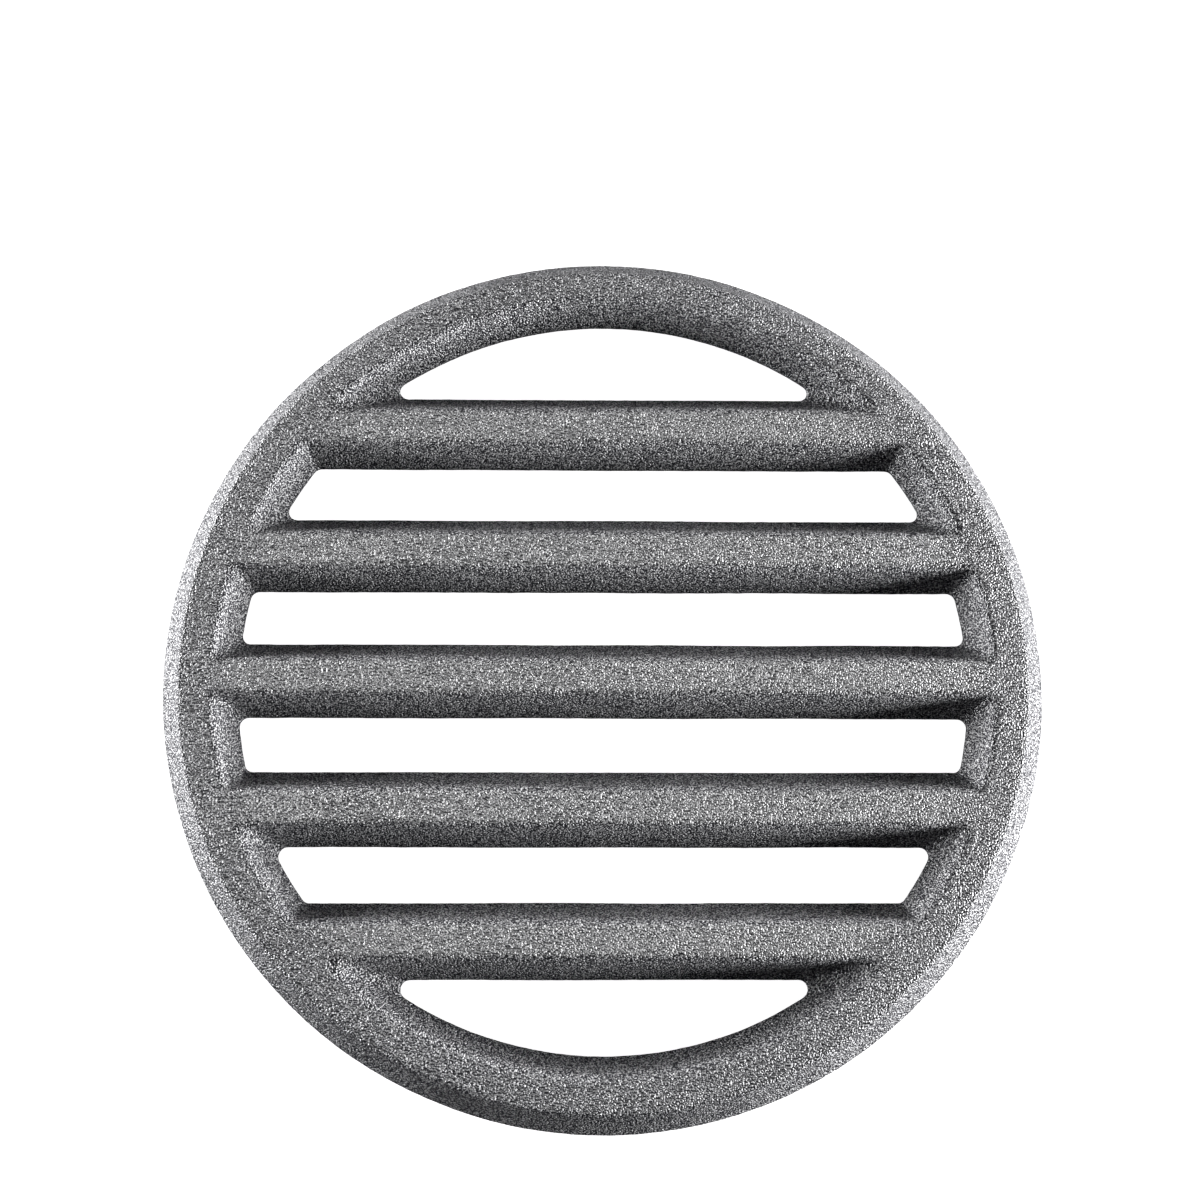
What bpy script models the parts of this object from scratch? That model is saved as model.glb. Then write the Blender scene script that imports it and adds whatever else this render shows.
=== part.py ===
"""Round slotted floor drain grate: one grey-iron casting, modelled as its rim and its five bars.

Metres, +Z up. The origin is the centre of the flat back face, the bars run along X and are counted from +Y.
The back is flat, and every edge of the casting has a flank: a short upright land, a slope that lets the pattern
leave the sand, and a rounded shoulder that runs into the flat top. The rim keeps the filleted roots of the
bars. Each bar is a straight prism between two roots, with a hairline gap at each end that keeps the solids apart.
"""

import math

import bmesh
import bpy

# Driving dimensions
OUTER_RADIUS = 0.075
THICKNESS = 0.0065
RIM_WIDTH = 0.0127
BAR_COUNT = 5
BAR_WIDTH = 0.0127
BAR_PITCH = 0.02185
CORNER_FILLET = 0.0015

# Flank of every edge. The shoulder is tighter on the outer edge of the rim
LAND_HEIGHT = 0.0012
DRAFT_ANGLE = math.radians(33)
SHOULDER_RADIUS = 0.0018
OUTER_SHOULDER_RADIUS = 0.0006

# Where a bar stops short of its roots
ROOT_MARGIN = 0.0012
PART_GAP = 0.0003

# Fineness of the facets
RIM_SEGMENTS = 96
FILLET_SEGMENTS = 4
SHOULDER_SEGMENTS = 5

RIM_INNER_RADIUS = OUTER_RADIUS - RIM_WIDTH
IRON_COLOUR = (0.105, 0.105, 0.11, 1)
IRON_ROUGHNESS = 0.55
IRON_METALLIC = 0.6


def flank(shoulder_radius):
    """(inset, height) of each step up an edge, from the back face to the flat top."""
    rise = THICKNESS - LAND_HEIGHT - shoulder_radius * (1 - math.sin(DRAFT_ANGLE))
    slope_run = rise * math.tan(DRAFT_ANGLE)
    shoulder_x = slope_run + shoulder_radius * math.cos(DRAFT_ANGLE)
    shoulder_z = THICKNESS - shoulder_radius
    steps = [(0.0, 0.0), (0.0, LAND_HEIGHT)]
    for i in range(SHOULDER_SEGMENTS + 1):
        turn = DRAFT_ANGLE + (math.pi / 2 - DRAFT_ANGLE) * i / SHOULDER_SEGMENTS
        steps.append(
            (
                shoulder_x - shoulder_radius * math.cos(turn),
                shoulder_z + shoulder_radius * math.sin(turn),
            )
        )
    return steps


def bar_centres():
    """Y of each bar's centreline, from +Y to -Y."""
    middle = (BAR_COUNT - 1) / 2
    return [BAR_PITCH * (middle - i) for i in range(BAR_COUNT)]


def opening_edges():
    """(low y, high y) of each opening at the back face, from +Y to -Y. None is the side that the rim closes."""
    upper = [y + BAR_WIDTH / 2 for y in bar_centres()]
    lower = [y - BAR_WIDTH / 2 for y in bar_centres()]
    return list(zip([*upper, None], [None, *lower]))


def arc(centre_x, centre_y, radius, start, end, segments):
    """Points along an arc, both ends included."""
    turns = [start + (end - start) * i / segments for i in range(segments + 1)]
    return [(centre_x + radius * math.cos(t), centre_y + radius * math.sin(t)) for t in turns]


def fillet_centre(edge_y, radius, into):
    """Centre of the fillet between a bar's edge and the circle of the rim. into is 1 for an opening above the edge."""
    centre_y = edge_y + into * CORNER_FILLET
    return math.sqrt((radius - CORNER_FILLET) ** 2 - centre_y**2), centre_y


def opening_outline(low, high, grown):
    """Closed outline of one opening, counter-clockwise, with each of its edges moved outwards by grown."""
    radius = RIM_INNER_RADIUS + grown
    start, end = -math.pi / 2, math.pi / 2
    before, after = [], []
    if low is not None:
        x, y = fillet_centre(low - grown, radius, 1)
        start = math.atan2(y, x)
        before = arc(x, y, CORNER_FILLET, -math.pi / 2, start, FILLET_SEGMENTS)[:-1]
    if high is not None:
        x, y = fillet_centre(high + grown, radius, -1)
        end = math.atan2(y, x)
        after = arc(x, y, CORNER_FILLET, end, math.pi / 2, FILLET_SEGMENTS)[1:]
    segments = end_segments(low, high)
    right = before + arc(0, 0, radius, start, end, segments) + after
    left = [(-x, y) for x, y in reversed(right)]
    if low is None:
        left.pop()
    if high is None:
        left.pop(0)
    return right + left


def end_segments(low, high):
    """Number of straight pieces in the rim's arc at one end of an opening, the same at every height."""
    low_turn = -math.pi / 2 if low is None else math.asin(low / RIM_INNER_RADIUS)
    high_turn = math.pi / 2 if high is None else math.asin(high / RIM_INNER_RADIUS)
    return max(2, round((high_turn - low_turn) / (2 * math.pi) * RIM_SEGMENTS))


def rim_outline(shrunk):
    """The rim's outer circle, moved inwards by shrunk."""
    return arc(0, 0, OUTER_RADIUS - shrunk, 0, 2 * math.pi, RIM_SEGMENTS)[:-1]


def add_loop(bm, outline, height):
    """A closed loop of edges at one height."""
    verts = [bm.verts.new((x, y, height)) for x, y in outline]
    return [bm.edges.new((verts[i - 1], verts[i])) for i in range(len(verts))]


def add_wall(bm, outline_at, shoulder_radius):
    """The flank that goes up from the back face to the top. Returns its lowest and highest loops."""
    loops = [add_loop(bm, outline_at(inset), height) for inset, height in flank(shoulder_radius)]
    for below, above in zip(loops, loops[1:]):
        bmesh.ops.bridge_loops(bm, edges=below + above)
    return loops[0], loops[-1]


def casting_mesh():
    """The whole casting: the rim's outer wall, a wall round each opening, and the flat back and top between them."""
    bm = bmesh.new()
    walls = [add_wall(bm, rim_outline, OUTER_SHOULDER_RADIUS)]
    for low, high in opening_edges():
        walls.append(add_wall(bm, lambda grown, lo=low, hi=high: opening_outline(lo, hi, grown), SHOULDER_RADIUS))
    for loops in zip(*walls):
        bmesh.ops.triangle_fill(bm, use_beauty=True, edges=[edge for loop in loops for edge in loop])
    bmesh.ops.recalc_face_normals(bm, faces=bm.faces)
    return finished_mesh(bm, "rim")


def bar_mesh(name, half_length):
    """A straight bar: the flank's profile on both sides, extruded along X."""
    rising = [(inset - BAR_WIDTH / 2, height) for inset, height in flank(SHOULDER_RADIUS)]
    profile = rising + [(-y, z) for y, z in reversed(rising)]
    bm = bmesh.new()
    end = bm.faces.new([bm.verts.new((-half_length, y, z)) for y, z in profile])
    swept = bmesh.ops.extrude_face_region(bm, geom=[end])["geom"]
    moved = [item for item in swept if isinstance(item, bmesh.types.BMVert)]
    bmesh.ops.translate(bm, vec=(2 * half_length, 0, 0), verts=moved)
    bmesh.ops.recalc_face_normals(bm, faces=bm.faces)
    return finished_mesh(bm, name)


def bar_half_length(centre_y):
    """Half a bar's length: to just inside the nearest start of a fillet in its roots."""
    starts = []
    for side in (1, -1):
        edge = centre_y + side * BAR_WIDTH / 2
        starts.append(fillet_centre(edge, RIM_INNER_RADIUS, side)[0])
    return min(starts) - ROOT_MARGIN


def bar_span_cutter():
    """One box for each bar, longer than it by the gap at each end. Together they take the bars out of the casting."""
    bm = bmesh.new()
    for centre_y in bar_centres():
        box = bmesh.ops.create_cube(bm, size=1)["verts"]
        length = 2 * (bar_half_length(centre_y) + PART_GAP)
        bmesh.ops.scale(bm, vec=(length, BAR_WIDTH * 1.3, THICKNESS * 3), verts=box)
        bmesh.ops.translate(bm, vec=(0, centre_y, 0), verts=box)
    cutter = add_object("bar_spans", finished_mesh(bm, "bar_spans"), (0, 0, 0), None)
    cutter.hide_render = True
    cutter.display_type = "WIRE"
    return cutter


def finished_mesh(bm, name):
    """The mesh of a finished bmesh, smooth but for its real edges."""
    mesh = bpy.data.meshes.new(name)
    bm.to_mesh(mesh)
    bm.free()
    mesh.shade_smooth()
    mesh.set_sharp_from_angle(angle=math.radians(35))
    return mesh


def iron():
    """Bare grey iron as it comes from the sand."""
    material = bpy.data.materials.new("cast_iron")
    material.use_nodes = True
    shader = material.node_tree.nodes["Principled BSDF"]
    shader.inputs["Base Color"].default_value = IRON_COLOUR
    shader.inputs["Roughness"].default_value = IRON_ROUGHNESS
    shader.inputs["Metallic"].default_value = IRON_METALLIC
    return material


def add_object(name, mesh, location, material):
    """Links a mesh as a named object in the scene."""
    made = bpy.data.objects.new(name, mesh)
    made.location = location
    if material is not None:
        mesh.materials.append(material)
    bpy.context.scene.collection.objects.link(made)
    return made


def build():
    """The rim with the roots of the bars, and the bars between them."""
    for old in list(bpy.data.objects):
        bpy.data.objects.remove(old)
    material = iron()
    rim = add_object("rim", casting_mesh(), (0, 0, 0), material)
    cut = rim.modifiers.new("take_out_bars", "BOOLEAN")
    cut.operation = "DIFFERENCE"
    cut.solver = "EXACT"
    cut.object = bar_span_cutter()
    for number, centre_y in enumerate(bar_centres(), start=1):
        name = f"bar_{number}"
        mesh = bar_mesh(name, bar_half_length(centre_y))
        add_object(name, mesh, (0, centre_y, 0), material)


build()
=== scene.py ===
"""Looks of the floor drain grate: one bare grey-iron sand casting, lit in a plain studio.

The casting is made as one skin: a wall round the rim, a wall round each opening, and the flat top and back
between them. The skin is roughened as a sand mould roughens iron. Then it is divided where the CAD model
divides it, so each CAD node gets a closed piece of its own, and the surface runs on from piece to piece.
"""

import math
from functools import partial

import bpy
import numpy as np
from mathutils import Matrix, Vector, geometry, noise


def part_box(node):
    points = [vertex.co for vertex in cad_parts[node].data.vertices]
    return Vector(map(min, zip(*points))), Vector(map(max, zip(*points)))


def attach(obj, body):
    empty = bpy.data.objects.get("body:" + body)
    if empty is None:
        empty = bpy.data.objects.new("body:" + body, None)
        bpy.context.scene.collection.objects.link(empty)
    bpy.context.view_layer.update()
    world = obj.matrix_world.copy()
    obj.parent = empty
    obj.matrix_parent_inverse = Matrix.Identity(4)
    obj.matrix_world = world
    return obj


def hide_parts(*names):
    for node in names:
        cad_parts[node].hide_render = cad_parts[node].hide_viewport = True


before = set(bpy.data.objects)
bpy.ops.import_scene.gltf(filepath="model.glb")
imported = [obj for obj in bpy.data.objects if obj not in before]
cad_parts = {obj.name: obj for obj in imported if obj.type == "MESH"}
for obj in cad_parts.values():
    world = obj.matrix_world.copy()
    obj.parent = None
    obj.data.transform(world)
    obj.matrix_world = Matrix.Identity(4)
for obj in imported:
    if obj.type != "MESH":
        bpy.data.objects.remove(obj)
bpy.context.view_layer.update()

# From the CAD model
BAR_NODES = ["bar_1", "bar_2", "bar_3", "bar_4", "bar_5"]
RIM_NODE = "rim"
OUTER_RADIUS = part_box(RIM_NODE)[1].x
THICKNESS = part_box(RIM_NODE)[1].z
BAR_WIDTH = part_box("bar_3")[1].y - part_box("bar_3")[0].y
RIM_WIDTH = BAR_WIDTH
RIM_INNER_RADIUS = OUTER_RADIUS - RIM_WIDTH

# The edges, corners and seams of the casting, as the CAD model has them
LAND_HEIGHT = 0.0012
DRAFT_ANGLE = math.radians(33)
SHOULDER_RADIUS = 0.0018
OUTER_SHOULDER_RADIUS = 0.0006
CORNER_FILLET = 0.0015
SEAM_GAP = 0.0003

# Where this casting differs from the CAD model: its edges at the back are rounded, and the arc of the
# opening at +Y lies this far outside the rim's inner circle
BACK_EDGE_RADIUS = 0.0004
FIRST_ARC_RELIEF = 0.0011

# What the sand mould does to the surface: (wavelength, height) of each layer, and how far it all shrinks
MOULD_LAYERS = [(0.02, 0.0001), (0.005, 0.00003), (0.0014, 0.00004)]
MOULD_SHRINK = 0.00006

# Fineness of the mesh
GRID = 0.0004
SHOULDER_GRID = 0.00025
BACK_GRID = 0.0006
FILLET_STEPS = 6
BACK_EDGE_STEPS = 3
MERGE_DISTANCE = 1e-7

# The size of the iron's grain and clouds, and how deep the grain looks
FINE_GRAIN = 0.00028
COARSE_GRAIN = 0.0008
CLOUDS = 0.014
FINE_DEPTH = 0.0003
COARSE_DEPTH = 0.0001

# The darkest and palest tone of the iron, as cast and where wear has rubbed it, and the fine noise at which
# each is reached. The cast tones also paint shade on the slopes, and the paler tones paint light on what
# faces up
CAST_AND_SHADED_TONES = [(0.015, 0.015, 0.02, 1), (0.49, 0.49, 0.5, 1)]
CAST_AND_SHADED_NOISE = (0.42, 0.74)
WORN_AND_LIT_TONES = [(0.028, 0.028, 0.032, 1), (0.44, 0.44, 0.445, 1)]
WORN_AND_LIT_NOISE = (0.34, 0.68)
METALLIC = 0.4
# The least and greatest roughness, and the cloud noise at which each is reached
ROUGHNESS = (0.42, 0.58)
CLOUD_NOISE = (0.3, 0.7)

# The upward part of the surface's direction where wear and painted light begin, and where they are
# complete. Below it the slopes keep the darker tone as painted shade
WEAR_AND_SHADE_FACING = (0.86, 0.97)
# How much wear the rim's top has, where the bars' tops have 1, and how far from the centre the wear falls
# to that
RIM_WEAR = 0.2
RIM_WEAR_REACH = (0.06, 0.066)

# The studio
LIGHT_DISTANCE = 0.7
AMBIENT = (0.008, 0.008, 0.009, 1)
WHITE = (1, 1, 1, 1)
FLOOR_COLOUR = (0.8, 0.8, 0.8, 1)
FLOOR_HALF_WIDTH = 3.0
FLOOR_GAP = 0.0002

# The camera. Its turns about X, Y and Z are in degrees
LENS = 58.5
SENSOR_WIDTH = 36
CAMERA_PLACE = (-0.00732, -0.0521, 0.33014)
CAMERA_TURNS = (11.396, -1.127, 0.179)


def count(length, step):
    """Number of equal steps that a length is divided into."""
    return max(1, round(length / step))


def line(start, end, steps):
    """Points from start to just before end."""
    share = np.arange(steps)[:, None] / steps
    return np.array(start) + (np.array(end) - np.array(start)) * share


def arc(centre, radius, start, end, steps):
    """Points along an arc, from its start to just before its end."""
    turn = start + (end - start) * np.arange(steps) / steps
    return np.column_stack([centre[0] + radius * np.cos(turn), centre[1] + radius * np.sin(turn)])


def flank(radius):
    """(inset, height) of each step up an edge, from the back to the top. radius is the shoulder's."""
    rise = THICKNESS - LAND_HEIGHT - radius * (1 - math.sin(DRAFT_ANGLE))
    slope_run = rise * math.tan(DRAFT_ANGLE)
    shoulder = (slope_run + radius * math.cos(DRAFT_ANGLE), THICKNESS - radius)
    slope_end = (slope_run, LAND_HEIGHT + rise)
    back_edge = (BACK_EDGE_RADIUS, BACK_EDGE_RADIUS)
    land_steps = count(LAND_HEIGHT - BACK_EDGE_RADIUS, GRID)
    slope_steps = count(math.hypot(slope_run, rise), GRID)
    shoulder_steps = count(radius * (math.pi / 2 - DRAFT_ANGLE), SHOULDER_GRID)
    return np.concatenate(
        [
            arc(back_edge, BACK_EDGE_RADIUS, -math.pi / 2, -math.pi, BACK_EDGE_STEPS),
            line((0, BACK_EDGE_RADIUS), (0, LAND_HEIGHT), land_steps),
            line((0, LAND_HEIGHT), slope_end, slope_steps),
            arc(shoulder, radius, math.pi - DRAFT_ANGLE, math.pi / 2, shoulder_steps),
            [(shoulder[0], THICKNESS)],
        ]
    )


class Bar:
    """Where a bar lies in plan, from its CAD node."""

    def __init__(self, node):
        lowest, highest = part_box(node)
        self.node = node
        self.low = lowest.y
        self.high = highest.y
        self.seam = highest.x + SEAM_GAP / 2


BARS = [Bar(node) for node in BAR_NODES]
# The bar below and the bar above each opening, from +Y to -Y. None is the side that the rim closes
OPENINGS = list(zip([*BARS, None], [None, *BARS]))


def end_radius(above):
    """Radius of the rim's arc at the ends of an opening, at the back face."""
    return RIM_INNER_RADIUS if above else RIM_INNER_RADIUS + FIRST_ARC_RELIEF


def fillet_centre(edge, radius):
    """Centre of the fillet between the lower edge of an opening and the circle of the rim."""
    y = edge + CORNER_FILLET
    return math.sqrt((radius - CORNER_FILLET) ** 2 - y**2), y


def corner(edge, seam, radius, grown):
    """An opening's lower edge, from its middle past the seam and round the fillet to the rim's arc.

    Returns the points and the direction in which the rim's arc starts.
    """
    base_reach = fillet_centre(edge, radius)[0]
    y = edge - grown
    centre = fillet_centre(y, radius + grown)
    start = math.atan2(centre[1], centre[0])
    points = [
        line((0, y), (seam, y), count(seam, GRID)),
        line((seam, y), (centre[0], y), count(base_reach - seam, GRID)),
        arc(centre, CORNER_FILLET, -math.pi / 2, start, FILLET_STEPS),
    ]
    return np.concatenate(points), start


def opening_outline(below, above, grown):
    """Closed outline of one opening, clockwise, with each of its edges moved outwards by grown."""
    radius = end_radius(above)
    reach = radius + grown
    start, end = -math.pi / 2, math.pi / 2
    low_turn, high_turn = start, end
    before, after = [(0, -reach)], [(0, reach)]
    if below:
        before, start = corner(below.high, below.seam, radius, grown)
        low_turn = math.asin(below.high / radius)
    if above:
        mirrored, start_mirrored = corner(-above.low, above.seam, radius, grown)
        after = mirrored[::-1] * (1, -1)
        end = -start_mirrored
        high_turn = math.asin(above.low / radius)
    steps = count((high_turn - low_turn) * radius, GRID)
    along_rim = arc((0, 0), reach, start, end, steps)[0 if below else 1:]
    rim_end = [(reach * math.cos(end), reach * math.sin(end))] if above else np.empty((0, 2))
    right = np.concatenate([before, along_rim, rim_end, after])
    left = right[-2:0:-1] * (-1, 1)
    return np.concatenate([right, left])[::-1]


def rim_outline(shrunk):
    """The rim's outer circle, anticlockwise, moved inwards by shrunk."""
    return arc((0, 0), OUTER_RADIUS - shrunk, 0, 2 * math.pi, count(2 * math.pi * OUTER_RADIUS, GRID))


class Skin:
    """Points and faces of the casting. Loops keep the metal on their left, so that the faces point out."""

    def __init__(self):
        self.points = np.empty((0, 3))
        self.faces = []

    def add_points(self, outline, height):
        """Adds points at one height and returns their numbers."""
        first = len(self.points)
        heights = np.full((len(outline), 1), height)
        self.points = np.concatenate([self.points, np.hstack([outline, heights])])
        return np.arange(first, len(self.points))

    def add_wall(self, outline_at, shoulder_radius):
        """Adds the flank that goes up from the back to the top. Returns its lowest and highest loop."""
        loops = [self.add_points(outline_at(inset), height) for inset, height in flank(shoulder_radius)]
        for below, above in zip(loops, loops[1:]):
            corners = [below, np.roll(below, -1), np.roll(above, -1), above]
            self.faces += np.column_stack(corners).tolist()
        return loops[0], loops[-1]

    def add_flat(self, loops, inset, spacing, facing_up):
        """Fills the metal between the loops with triangles. The first loop is the rim's."""
        on_loops = np.concatenate(loops)
        height = self.points[on_loops[0], 2]
        inside = np.concatenate([seam_points(inset, spacing), metal_grid(inset + spacing / 2, spacing)])
        plan = np.concatenate([self.points[on_loops, :2], inside])
        edges = loop_edges(loops) + seam_edges(len(on_loops), inset, spacing)
        triangles = triangulated(plan, edges)
        loop_of_point = np.full(len(plan), -1)
        loop_of_point[: len(on_loops)] = np.repeat(np.arange(len(loops)), [len(loop) for loop in loops])
        triangles = triangles[~in_opening(loop_of_point[triangles])]
        numbers = np.concatenate([on_loops, self.add_points(inside, height)])[triangles]
        self.faces += (numbers if facing_up else numbers[:, ::-1]).tolist()


def triangulated(plan, edges):
    """Triangles between points in plan, by the numbers of their corners. They keep to the given edges."""
    made = geometry.delaunay_2d_cdt([Vector(point) for point in plan], edges, [], 0, MERGE_DISTANCE)
    triangles, sources = made[2], made[3]
    return np.array([min(source) for source in sources])[np.array(triangles)]


def in_opening(corner_loops):
    """Whether each triangle fills an opening: its corners are all on one loop, and that isn't the rim's."""
    first = corner_loops[:, :1]
    return (first[:, 0] > 0) & (corner_loops == first).all(axis=1)


def seam_line(bar, side, inset, spacing):
    """Points across a bar at one of its two seams, both edges included."""
    x = side * bar.seam
    low, high = bar.low + inset, bar.high - inset
    return np.array([(x, y) for y in np.linspace(low, high, count(high - low, spacing) + 1)])


def seam_points(inset, spacing):
    """The points of all the seam lines."""
    return np.concatenate([seam_line(bar, side, inset, spacing) for bar in BARS for side in (-1, 1)])


def seam_edges(first, inset, spacing):
    """The edges of all the seam lines. first is the number of their first point."""
    edges = []
    for bar in BARS:
        for side in (-1, 1):
            last = first + len(seam_line(bar, side, inset, spacing)) - 1
            edges += [(i, i + 1) for i in range(first, last)]
            first = last + 1
    return edges


def loop_edges(loops):
    """The edges of closed loops whose points are numbered one loop after another."""
    edges = []
    first = 0
    for loop in loops:
        edges += [(first + i, first + (i + 1) % len(loop)) for i in range(len(loop))]
        first += len(loop)
    return edges


def metal_grid(margin, spacing):
    """Points of a triangular grid in the metal, off the seams and at least margin from its outline."""
    row_step = spacing * math.sqrt(3) / 2
    rows = np.arange(-OUTER_RADIUS, OUTER_RADIUS, row_step)
    columns = np.arange(-OUTER_RADIUS, OUTER_RADIUS, spacing)
    x, y = np.meshgrid(columns, rows)
    x = x + (np.arange(len(rows)) % 2)[:, None] * spacing / 2
    radius = np.hypot(x, y)
    kept = radius < OUTER_RADIUS - margin
    for below, above in OPENINGS:
        low = below.high - margin if below else -OUTER_RADIUS
        high = above.low + margin if above else OUTER_RADIUS
        kept &= ~((y > low) & (y < high) & (radius < end_radius(above) + margin))
    for bar in BARS:
        near_seam = np.abs(np.abs(x) - bar.seam) < spacing / 2
        kept &= ~(near_seam & (y > bar.low) & (y < bar.high))
    return np.column_stack([x[kept], y[kept]])


def casting_skin():
    """The whole casting before the mould roughens it."""
    skin = Skin()
    walls = [skin.add_wall(rim_outline, OUTER_SHOULDER_RADIUS)]
    for below, above in OPENINGS:
        walls.append(skin.add_wall(partial(opening_outline, below, above), SHOULDER_RADIUS))
    back_loops, top_loops = zip(*walls)
    back_inset, top_inset = flank(SHOULDER_RADIUS)[[0, -1], 0]
    skin.add_flat(back_loops, back_inset, BACK_GRID, facing_up=False)
    skin.add_flat(top_loops, top_inset, GRID, facing_up=True)
    return skin


def vertex_normals(points, faces):
    """Smooth normal of every point."""
    mesh = bpy.data.meshes.new("normals")
    mesh.from_pydata(points, [], faces)
    normals = np.empty(len(points) * 3)
    mesh.vertex_normals.foreach_get("vector", normals)
    bpy.data.meshes.remove(mesh)
    return normals.reshape(-1, 3)


def mould_height(point):
    """How far the mould moves the surface out at a point."""
    place = Vector(point)
    layers = [height * noise.noise(place / wavelength) for wavelength, height in MOULD_LAYERS]
    return sum(layers) - MOULD_SHRINK


def roughened(skin):
    """The skin's points after the mould. None goes below the face that the grate rests on."""
    heights = np.array([mould_height(point) for point in skin.points])
    points = skin.points + vertex_normals(skin.points, skin.faces) * heights[:, None]
    points[:, 2] = np.maximum(points[:, 2], 0)
    return points


def node_of_faces(skin):
    """The CAD node that each face of the skin belongs to."""
    centres = np.array([skin.points[face].mean(axis=0) for face in skin.faces])
    owner = np.full(len(centres), RIM_NODE, dtype=object)
    for bar in BARS:
        slack = GRID / 10
        across = (centres[:, 1] > bar.low - slack) & (centres[:, 1] < bar.high + slack)
        owner[across & (np.abs(centres[:, 0]) < bar.seam)] = bar.node
    return owner


def caps(faces):
    """The faces that close a skin where it was divided."""
    directed = {(a, b) for face in faces for a, b in zip(face, [*face[1:], face[0]])}
    following = {b: a for a, b in directed if (b, a) not in directed}
    made = []
    while following:
        start, point = following.popitem()
        loop = [start]
        while point != start:
            loop.append(point)
            point = following.pop(point)
        made.append(loop)
    return made


def piece_mesh(name, points, normals, faces):
    """A closed mesh of some of the skin's faces that keeps the whole skin's smooth normals."""
    ends = caps(faces)
    everything = faces + ends
    used, numbers = np.unique(np.concatenate(everything), return_inverse=True)
    sizes = np.cumsum([len(face) for face in everything])[:-1]
    mesh = bpy.data.meshes.new(name)
    mesh.from_pydata(points[used], [], [part.tolist() for part in np.split(numbers, sizes)])
    mesh.shade_smooth()
    corner_normals = normals[np.concatenate(faces)].tolist()
    for face, polygon in zip(ends, mesh.polygons[len(faces):]):
        corner_normals += [tuple(polygon.normal)] * len(face)
    mesh.normals_split_custom_set(corner_normals)
    return mesh


def make_casting(material):
    """One piece for each CAD node, cut from the roughened skin."""
    skin = casting_skin()
    points = roughened(skin)
    normals = vertex_normals(points, skin.faces)
    owner = node_of_faces(skin)
    for node in [RIM_NODE, *BAR_NODES]:
        faces = [face for face, whose in zip(skin.faces, owner) if whose == node]
        name = f"cast_{node}"
        mesh = piece_mesh(name, points, normals, faces)
        mesh.materials.append(material)
        piece = bpy.data.objects.new(name, mesh)
        bpy.context.scene.collection.objects.link(piece)
        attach(piece, "root")
        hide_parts(node)


class Nodes:
    """A short way to write a material's nodes."""

    def __init__(self, material):
        material.use_nodes = True
        self.tree = material.node_tree
        self.shader = self.tree.nodes["Principled BSDF"]

    def add(self, kind, settings=None, **inputs):
        """Adds a node. A socket given as an input is linked, and a value is set."""
        made = self.tree.nodes.new(kind)
        for name, value in (settings or {}).items():
            setattr(made, name, value)
        for name, value in inputs.items():
            self.give(made.inputs[name.replace("_", " ")], value)
        return made

    def give(self, socket, value):
        """Links a socket to another, or sets its value."""
        if isinstance(value, bpy.types.NodeSocket):
            self.tree.links.new(value, socket)
        else:
            socket.default_value = value

    def grain(self, place, size, detail):
        """Noise with features of one size in metres."""
        return self.add("ShaderNodeTexNoise", Vector=place, Scale=1 / size, Detail=detail).outputs["Fac"]

    def bump(self, height, depth, **inputs):
        """The surface's direction where heights from 0 to 1 make it uneven, by up to depth in metres."""
        made = self.add("ShaderNodeBump", Strength=1.0, Distance=depth, Height=height, **inputs)
        return made.outputs["Normal"]

    def remap(self, value, low, high, to_low, to_high):
        """A value stretched from one range to another and held inside it."""
        made = self.add("ShaderNodeMapRange")
        for socket, number in zip(made.inputs, (value, low, high, to_low, to_high)):
            self.give(socket, number)
        return made.outputs["Result"]

    def mix(self, share, first, second):
        """A colour between two others. Its sockets share names with other kinds, so they go by number."""
        made = self.add("ShaderNodeMix", {"data_type": "RGBA"})
        self.give(made.inputs["Factor"], share)
        self.give(made.inputs[6], first)
        self.give(made.inputs[7], second)
        return made.outputs[2]


def wear_and_shade_share(nodes, surface):
    """How much of the paler tone the iron takes, from 0 to 1: only what faces up takes it, and the bars
    more than the rim. It stands partly for wear and partly for painted light on the tops and painted shade
    on the slopes.
    """
    upward = nodes.add("ShaderNodeSeparateXYZ", Vector=surface["Normal"]).outputs["Z"]
    reach = nodes.add("ShaderNodeVectorMath", {"operation": "LENGTH"})
    nodes.give(reach.inputs[0], surface["Object"])
    most_wear_and_light = nodes.remap(reach.outputs["Value"], *RIM_WEAR_REACH, 1, RIM_WEAR)
    return nodes.remap(upward, *WEAR_AND_SHADE_FACING, 0, most_wear_and_light)


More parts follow.
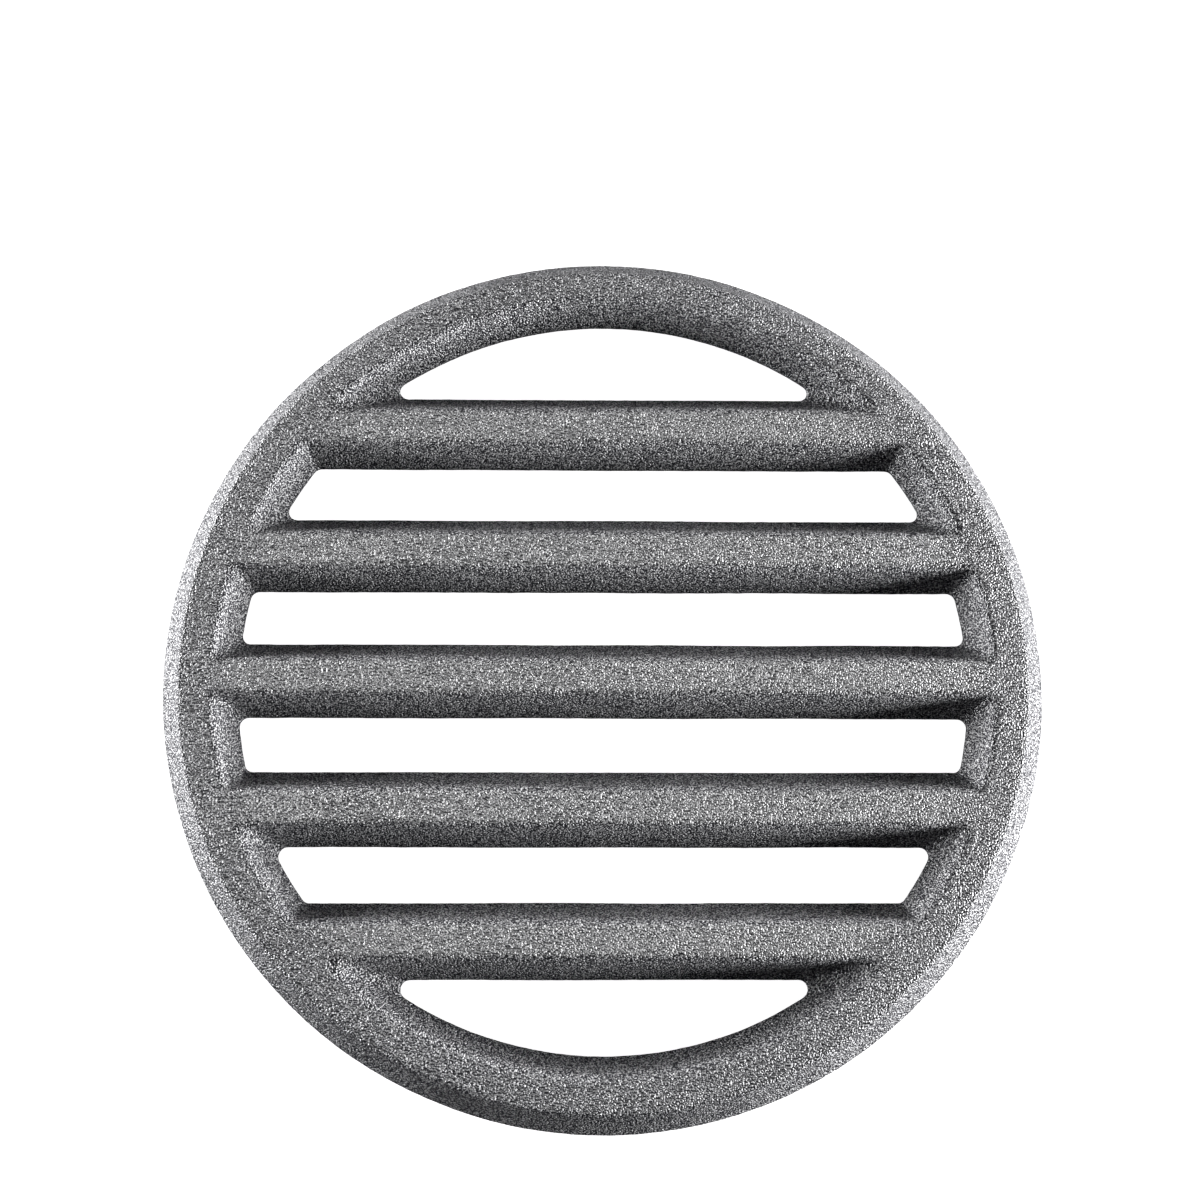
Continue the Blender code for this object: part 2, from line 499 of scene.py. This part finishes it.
def sand_cast_iron():
    """Bare grey iron: dark and grainy as the sand mould leaves it, and paler where wear has rubbed it. What
    faces up is also painted paler and the slopes darker, as painted light and shade.
    """
    material = bpy.data.materials.new("sand_cast_iron")
    nodes = Nodes(material)
    surface = nodes.add("ShaderNodeTexCoord").outputs
    fine = nodes.grain(surface["Object"], FINE_GRAIN, detail=0)
    coarse = nodes.grain(surface["Object"], COARSE_GRAIN, detail=1)
    clouds = nodes.grain(surface["Object"], CLOUDS, detail=3)
    # The fine noise is also the grain's height in the bump below, so its low pits get the darker tone:
    # painted shade in the pits, besides the iron's own speckle
    cast_and_shaded = nodes.mix(nodes.remap(fine, *CAST_AND_SHADED_NOISE, 0, 1), *CAST_AND_SHADED_TONES)
    worn_and_lit = nodes.mix(nodes.remap(fine, *WORN_AND_LIT_NOISE, 0, 1), *WORN_AND_LIT_TONES)
    # Painted light and shade: what faces up takes the paler tone and the slopes the darker one, besides
    # real wear
    colour = nodes.mix(wear_and_shade_share(nodes, surface), cast_and_shaded, worn_and_lit)
    rough = nodes.remap(clouds, *CLOUD_NOISE, *ROUGHNESS)
    relief = nodes.bump(coarse, COARSE_DEPTH)
    relief = nodes.bump(fine, FINE_DEPTH, Normal=relief)
    nodes.give(nodes.shader.inputs["Base Color"], colour)
    nodes.give(nodes.shader.inputs["Metallic"], METALLIC)
    nodes.give(nodes.shader.inputs["Roughness"], rough)
    nodes.give(nodes.shader.inputs["Normal"], relief)
    return material


def soft_light(name, azimuth, elevation, width, height, power):
    """A softbox that faces the middle of the grate. Azimuth 0 is +X and 90 is +Y, in degrees."""
    light = bpy.data.lights.new(name, "AREA")
    light.shape = "RECTANGLE"
    light.size = width
    light.size_y = height
    light.energy = power
    turn, tilt = math.radians(azimuth), math.radians(elevation)
    away = Vector((math.cos(turn) * math.cos(tilt), math.sin(turn) * math.cos(tilt), math.sin(tilt)))
    lamp = bpy.data.objects.new(name, light)
    lamp.location = away * LIGHT_DISTANCE
    lamp.rotation_euler = (-away).to_track_quat("-Z", "Y").to_euler()
    bpy.context.scene.collection.objects.link(lamp)


def make_floor():
    """A plain pale floor, just below the grate, that glows enough to show as white and without shadows."""
    mesh = bpy.data.meshes.new("floor")
    half = FLOOR_HALF_WIDTH
    corners = [(-half, -half, 0), (half, -half, 0), (half, half, 0), (-half, half, 0)]
    mesh.from_pydata(corners, [], [(0, 1, 2, 3)])
    floor = bpy.data.objects.new("floor", mesh)
    floor.location.z = -FLOOR_GAP
    material = bpy.data.materials.new("floor")
    material.use_nodes = True
    shader = material.node_tree.nodes["Principled BSDF"]
    shader.inputs["Base Color"].default_value = FLOOR_COLOUR
    shader.inputs["Roughness"].default_value = 1.0
    shader.inputs["Emission Color"].default_value = WHITE
    shader.inputs["Emission Strength"].default_value = 1.0
    mesh.materials.append(material)
    floor.visible_glossy = False
    floor.visible_diffuse = False
    bpy.context.scene.collection.objects.link(floor)


def make_world():
    """Dim grey surroundings to light by, which a camera sees as white."""
    world = bpy.data.worlds.new("studio")
    world.use_nodes = True
    tree = world.node_tree
    lighting = tree.nodes["Background"]
    lighting.inputs["Color"].default_value = AMBIENT
    seen = tree.nodes.new("ShaderNodeBackground")
    seen.inputs["Color"].default_value = WHITE
    rays = tree.nodes.new("ShaderNodeLightPath")
    both = tree.nodes.new("ShaderNodeMixShader")
    tree.links.new(rays.outputs["Is Camera Ray"], both.inputs["Fac"])
    tree.links.new(lighting.outputs[0], both.inputs[1])
    tree.links.new(seen.outputs[0], both.inputs[2])
    tree.links.new(both.outputs[0], tree.nodes["World Output"].inputs["Surface"])
    bpy.context.scene.world = world


def make_camera():
    """The camera looks down on the grate from a little towards -Y."""
    camera = bpy.data.cameras.new("camera")
    camera.lens = LENS
    camera.sensor_width = SENSOR_WIDTH
    camera.clip_start = 0.01
    viewer = bpy.data.objects.new("camera", camera)
    viewer.location = CAMERA_PLACE
    viewer.rotation_mode = "ZYX"
    viewer.rotation_euler = [math.radians(turn) for turn in CAMERA_TURNS]
    bpy.context.scene.collection.objects.link(viewer)
    bpy.context.scene.camera = viewer


make_casting(sand_cast_iron())
make_floor()
make_world()
soft_light("right", azimuth=-8, elevation=7, width=0.8, height=0.12, power=20.5)
soft_light("low_right", azimuth=42, elevation=3, width=0.3, height=0.06, power=4)
soft_light("left", azimuth=172, elevation=5, width=0.4, height=0.12, power=14)
soft_light("low_left", azimuth=133, elevation=3, width=0.15, height=0.06, power=3)
make_camera()
bpy.context.scene.view_settings.view_transform = "Standard"
